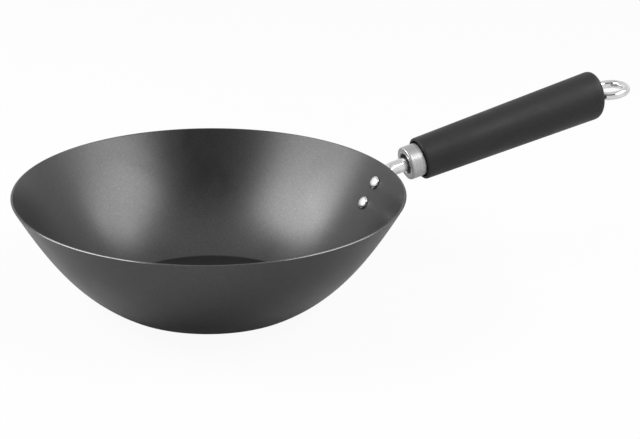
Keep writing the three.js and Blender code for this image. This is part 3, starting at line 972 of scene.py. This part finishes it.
def bright_metal(name, roughness):
    material, tree, shader, place = new_finish(name, Metallic=1.0)
    marks = use_group(tree, marks_group, place, Smear_Size=9 * MM, Scratch_Size=0.4 * MM)
    set_colour(tree, shader, marks["Smear"], BRIGHT, BRIGHT_DULL)
    dulled = math_node(tree, "ADD", marks["Smear"], marks["Scratch"])
    set_roughness(tree, shader, dulled, DULLED_SPAN, roughness)
    set_bump(tree, shader, marks["Scratch"], SCRATCH_BUMPS)
    print(f"finish {name}:", len(tree.nodes), "nodes")
    return material


bright_tube = bright_metal("bright_tube", roughness=(0.20, 0.32))
bright_wire = bright_metal("bright_wire", roughness=(0.06, 0.14))

# %% [markdown]
# ### Satin steel
# The ferrule was brushed on a lathe. Brushing blurs reflections across the lines more than along them;
# fine turned lines in the bump do that by themselves, and they also vary the roughness and shade.

# %% Satin steel
SATIN_LOW = grey(0.34)
SATIN_HIGH = grey(0.62)
BRUSH_SPAN = (0.35, 0.65)
WORN_SPAN = (0.2, 1.2)
SATIN_ROUGHNESS = (0.36, 0.50)
BRUSH_BUMPS = 0.02 * MM
satin_steel, tree, shader, place = new_finish("satin_steel", Metallic=1.0)
lines = use_group(tree, turned_group, place, Line_Width=0.5 * MM)
marks = use_group(tree, marks_group, place, Scratch_Size=0.4 * MM)
set_colour(tree, shader, stretch(tree, lines["Line"], *BRUSH_SPAN), SATIN_LOW, SATIN_HIGH)
worn = math_node(tree, "ADD", lines["Line"], marks["Scratch"])
set_roughness(tree, shader, worn, WORN_SPAN, SATIN_ROUGHNESS)
set_bump(tree, shader, lines["Line"], BRUSH_BUMPS)
print("finish satin_steel:", len(tree.nodes), "nodes")

# %% [markdown]
# ### Rivet metal, plain steel and the mouth's painted shade
# The rivets are a soft white metal, set with a domed punch that leaves faint rings. The bolt, its washer
# and the plug are plated steel, greyer and duller, because nobody is meant to look at them. The
# ferrule's sunk mouth gets a very dark, rough metal: painted shade for the shadow inside that recess.
# They differ from the rubbed edge only in numbers, so the same function lays all three.

# %% Three more metals with rings
SMEARS = 6 * MM
rivet_metal = ringed_metal("rivet_metal", (grey(0.72), grey(0.86)), (0.20, 0.30), 0.4 * MM, SMEARS)
plain_steel = ringed_metal("plain_steel", (grey(0.42), grey(0.56)), (0.30, 0.42), 0.3 * MM, SMEARS)
# The mouth's near-black colours are painted shade for the shadow in the ferrule's recess.
mouth_painted_shade = ringed_metal("mouth_painted_shade", (grey(0.05), grey(0.12)), (0.45, 0.60), 0.5 * MM, SMEARS)

# %% [markdown]
# ### Black plastic
# The grip is a hard black plastic with a dull moulded skin. Pure black would lose the form, so it is a very
# dark, faintly green grey. The grain breaks its highlight into a soft band, and places that hands
# polish are a little smoother.

# %% Black plastic
PLASTIC_DARK = (0.012, 0.013, 0.012)
PLASTIC_LIGHT = (0.018, 0.020, 0.018)
PLASTIC_ROUGHNESS = (0.56, 0.48)
PLASTIC_BUMPS = 0.03 * MM
black_plastic, tree, shader, place = new_finish("black_plastic", Specular_IOR_Level=0.35)
grain = use_group(tree, grain_group, place, Flake_Size=0.7 * MM, Bump_Size=0.45 * MM)
marks = use_group(tree, marks_group, place, Smear_Size=25 * MM)
set_colour(tree, shader, grain["Flake"], PLASTIC_DARK, PLASTIC_LIGHT)
set_roughness(tree, shader, marks["Smear"], WHOLE, PLASTIC_ROUGHNESS)
set_bump(tree, shader, grain["Height"], PLASTIC_BUMPS)
print("finish black_plastic:", len(tree.nodes), "nodes")

# %% [markdown]
# ## Put every piece in its place
# Each fine piece rides on the body that carries it, so it moves when a joint moves: the washer slides with
# the bolt's travel, and the bolt and loop also turn. Each one stands for its imported piece, which is then
# hidden, and takes the finishes listed with it. The plug stays as it was packed, because
# it never shows, but it gets its metal all the same.

# %% Dress the pieces
dressing = [
    (bowl, "wok_bowl", "wok", "coated_steel", [dark_coat, rubbed_edge]),
    (rivets["upper_rivet"], "upper_rivet", "wok", "rivet_metal", [rivet_metal]),
    (rivets["lower_rivet"], "lower_rivet", "wok", "rivet_metal", [rivet_metal]),
    (stem, "handle_stem", "wok", "bright_steel", [bright_tube]),
    (ferrule, "ferrule", "wok", "satin_steel", [satin_steel, mouth_painted_shade]),
    (grip, "grip", "wok", "black_plastic", [black_plastic]),
    (washer, "spring_washer", "washer", "plain_steel", [plain_steel]),
    (bolt, "tie_bolt", "loop_bolt", "plain_steel", [plain_steel]),
    (loop, "hanging_loop", "loop_bolt", "bright_steel", [bright_wire]),
]
for piece, node, body, slot, finishes in dressing:
    for finish in finishes:
        piece.data.materials.append(finish)
    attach(piece, body)
    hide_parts(node)
    low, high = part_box(node)
    print(f"{piece.name} stands for {node}, {[round(size / MM, 1) for size in high - low]} mm")
frame["nodes"]["stem_plug"].material_slots[0].material = plain_steel

# %% [markdown]
# ## The camera
# The picture was taken from a little above the rim, with a long lens, so the far side of the rim is hardly
# smaller than the near side. The handle leaves to the right and slightly away. These numbers place the
# camera round the bowl: how far, how high, and how far the bowl is turned.

# %% Set the camera
BOWL_TURN = math.radians(22.2)
EYE_DISTANCE = 1.6391
EYE_RISE = math.radians(20.335)
EYE_YAW = math.radians(2.827)
EYE_PITCH = math.radians(21.0)
EYE_ROLL = math.radians(0.497)
FOCAL_PIXELS = 2400
IMAGE_WIDTH = 640
SENSOR_WIDTH = 36.0
turn = Matrix.Rotation(-BOWL_TURN, 3, "Z")
right_of_view = turn @ Vector((1, 0, 0))
away_from_eye = turn @ Vector((0, 1, 0))
eye = turn @ Vector((0, -EYE_DISTANCE * math.cos(EYE_RISE), EYE_DISTANCE * math.sin(EYE_RISE)))
eye.z += BOWL_DEPTH
ahead = turn @ Vector(
    (math.sin(EYE_YAW) * math.cos(EYE_PITCH), math.cos(EYE_YAW) * math.cos(EYE_PITCH), -math.sin(EYE_PITCH))
)
level = ahead.cross(Vector((0, 0, 1))).normalized()
upright = level.cross(ahead)
side = level * math.cos(EYE_ROLL) + upright * math.sin(EYE_ROLL)
upright = upright * math.cos(EYE_ROLL) - level * math.sin(EYE_ROLL)
camera_data = bpy.data.cameras.new("camera")
camera_data.sensor_fit = "HORIZONTAL"
camera_data.sensor_width = SENSOR_WIDTH
camera_data.lens = SENSOR_WIDTH * FOCAL_PIXELS / IMAGE_WIDTH
camera = add_object("camera", camera_data)
camera.matrix_world = Matrix((side, upright, -ahead)).transposed().to_4x4()
camera.matrix_world.translation = eye
bpy.context.scene.camera = camera
print(f"lens {camera_data.lens:.0f} mm at {[round(value, 3) for value in eye]}")

# %% [markdown]
# ## The studio
# A shiny bowl is a picture of its room, so the room is laid out for what the bowl should mirror. The two
# soft bright patches inside it are two long lamps, one along each side of the wok. The dark band
# between them mirrors the room above the camera, which is dim. Elsewhere the room is pale: walls that
# are white low down all round, a ceiling, and a back wall that keeps the bright steel from going dark.
# One world can be all of that, because it answers each kind of ray in its own way: white to the camera,
# this room to a mirror, and a weak even fill to everything else.

# %% Two long soft lamps; the left one is rolled, so that its far end hangs lower
LAMP_DISTANCE = 1.3
LAMP_RISE = math.radians(43.5)
LAMP_WIDTH = 0.55
# How far forward a lamp stands and how far it is rolled are angles in degrees.
LAMPS = {
    "left_lamp": {"side": -1, "forward": 1, "roll": 22, "length": 1.2, "power": 15.0},
    "right_lamp": {"side": 1, "forward": 8, "roll": 0, "length": 1.25, "power": 11.0},
}
aim = Vector((0, 0, BOWL_DEPTH))
for name, lamp_kind in LAMPS.items():
    lamp_data = bpy.data.lights.new(name, "AREA")
    lamp_data.shape = "RECTANGLE"
    lamp_data.size = lamp_kind["length"]
    lamp_data.size_y = LAMP_WIDTH
    lamp_data.energy = lamp_kind["power"]
    lamp = add_object(name, lamp_data)
    forward = math.radians(lamp_kind["forward"])
    roll = Matrix.Rotation(math.radians(lamp_kind["roll"]), 3, "Z").to_quaternion()
    sideways = right_of_view * lamp_kind["side"] * math.cos(forward)
    outward = sideways - away_from_eye * math.sin(forward)
    toward = outward * math.cos(LAMP_RISE) + Vector((0, 0, math.sin(LAMP_RISE)))
    lamp.location = aim + toward * LAMP_DISTANCE
    lamp.rotation_mode = "QUATERNION"
    lamp.rotation_quaternion = toward.to_track_quat("Z", "Y") @ roll
    lamp.visible_camera = False
    print(name, "at", [round(value, 2) for value in lamp.location])

# %% The world: white to the eye, and to a mirror a pale room that is dim only above the camera
WHITE = (1, 1, 1, 1)
FILL = 0.2
DIM = 0.03
OVERHEAD = 0.75
BEHIND = 0.8
WALL_FADE = (0.6, 0.3)
CEILING_FADE = (0.7, 1.0)
BACK_FADE = (0.1, 0.6)


def kinds_of_ray(tree):
    """Two masks: rays from the eye, straight or through glass, and rays from a mirror."""
    rays = add_node(tree, "ShaderNodeLightPath").outputs
    seen = math_node(tree, "MAXIMUM", rays["Is Camera Ray"], rays["Is Transmission Ray"])
    return seen, rays["Is Glossy Ray"]


world = bpy.data.worlds.new("white_studio")
bpy.context.scene.world = world
world.use_nodes = True
tree = world.node_tree
tree.nodes.clear()
seen, mirrored = kinds_of_ray(tree)
heading = add_node(tree, "ShaderNodeTexCoord").outputs["Generated"]
height = add_node(tree, "ShaderNodeSeparateXYZ", {"Vector": heading}).outputs["Z"]
walls = stretch(tree, height, *WALL_FADE, DIM, 1.0)
ceiling = stretch(tree, height, *CEILING_FADE, DIM, OVERHEAD)
backward = add_node(tree, "ShaderNodeVectorMath", {0: heading, 1: away_from_eye}, operation="DOT_PRODUCT")
back_wall = stretch(tree, backward.outputs["Value"], *BACK_FADE, DIM, BEHIND)
room = math_node(tree, "MAXIMUM", math_node(tree, "MAXIMUM", walls, ceiling), back_wall)
lit = add_node(tree, "ShaderNodeMix", {"Factor": mirrored, "A": FILL, "B": room}).outputs["Result"]
shown = add_node(tree, "ShaderNodeMix", {"Factor": seen, "A": lit, "B": 1.0}).outputs["Result"]
background = add_node(tree, "ShaderNodeBackground", {"Color": WHITE, "Strength": shown})
add_node(tree, "ShaderNodeOutputWorld", {"Surface": background.outputs["Background"]})
print("world:", len(tree.nodes), "nodes")

# %% [markdown]
# ### The floor
# The wok stands on a pale sheet that runs out of sight. To the camera it should all but vanish into the
# white, keeping only the soft shadow that sets the wok down, so most of what the camera sees of it is plain
# white and the rest is its real shading. Metal sees a little of that white too, and otherwise an ordinary
# pale sheet with the wok's shadow on it, which is what darkens the bowl towards its foot.

# %% Lay the floor
FLOOR_RINGS = (0, 0.5, 1.5, 4.0)
FLOOR_SIDES = 96
PAPER_DARK = grey(0.80)
PAPER_LIGHT = grey(0.82)
FLOOR_WHITE = 0.94
WHITE_IN_METAL = 0.07
FLOOR_GAP = 0.3 * MM
floor = make_piece("floor", *revolve([(radius, 0) for radius in FLOOR_RINGS], FLOOR_SIDES))
floor.location.z = -FLOOR_GAP
pale_sheet, tree, sheet, place = new_finish("pale_sheet", Roughness=1.0, Specular_IOR_Level=0.0)
fibres = use_group(tree, grain_group, place, Flake_Size=3 * MM)
set_colour(tree, sheet, fibres["Flake"], PAPER_DARK, PAPER_LIGHT)
glow = add_node(tree, "ShaderNodeEmission", {"Color": WHITE, "Strength": 1.0})
seen, mirrored = kinds_of_ray(tree)
to_eye = math_node(tree, "MULTIPLY", seen, FLOOR_WHITE)
to_metal = math_node(tree, "MULTIPLY", mirrored, WHITE_IN_METAL)
whitened = math_node(tree, "MAXIMUM", to_eye, to_metal)
mixed = add_node(tree, "ShaderNodeMixShader", {0: whitened, 1: sheet.outputs[0], 2: glow.outputs[0]})
tree.links.new(mixed.outputs[0], tree.nodes["Material Output"].inputs["Surface"])
floor.data.materials.append(pale_sheet)

# %% [markdown]
# ## Finish
# Colours are shown as they are, without a film look.

# %% Colours and the end
bpy.context.scene.view_settings.view_transform = "Standard"
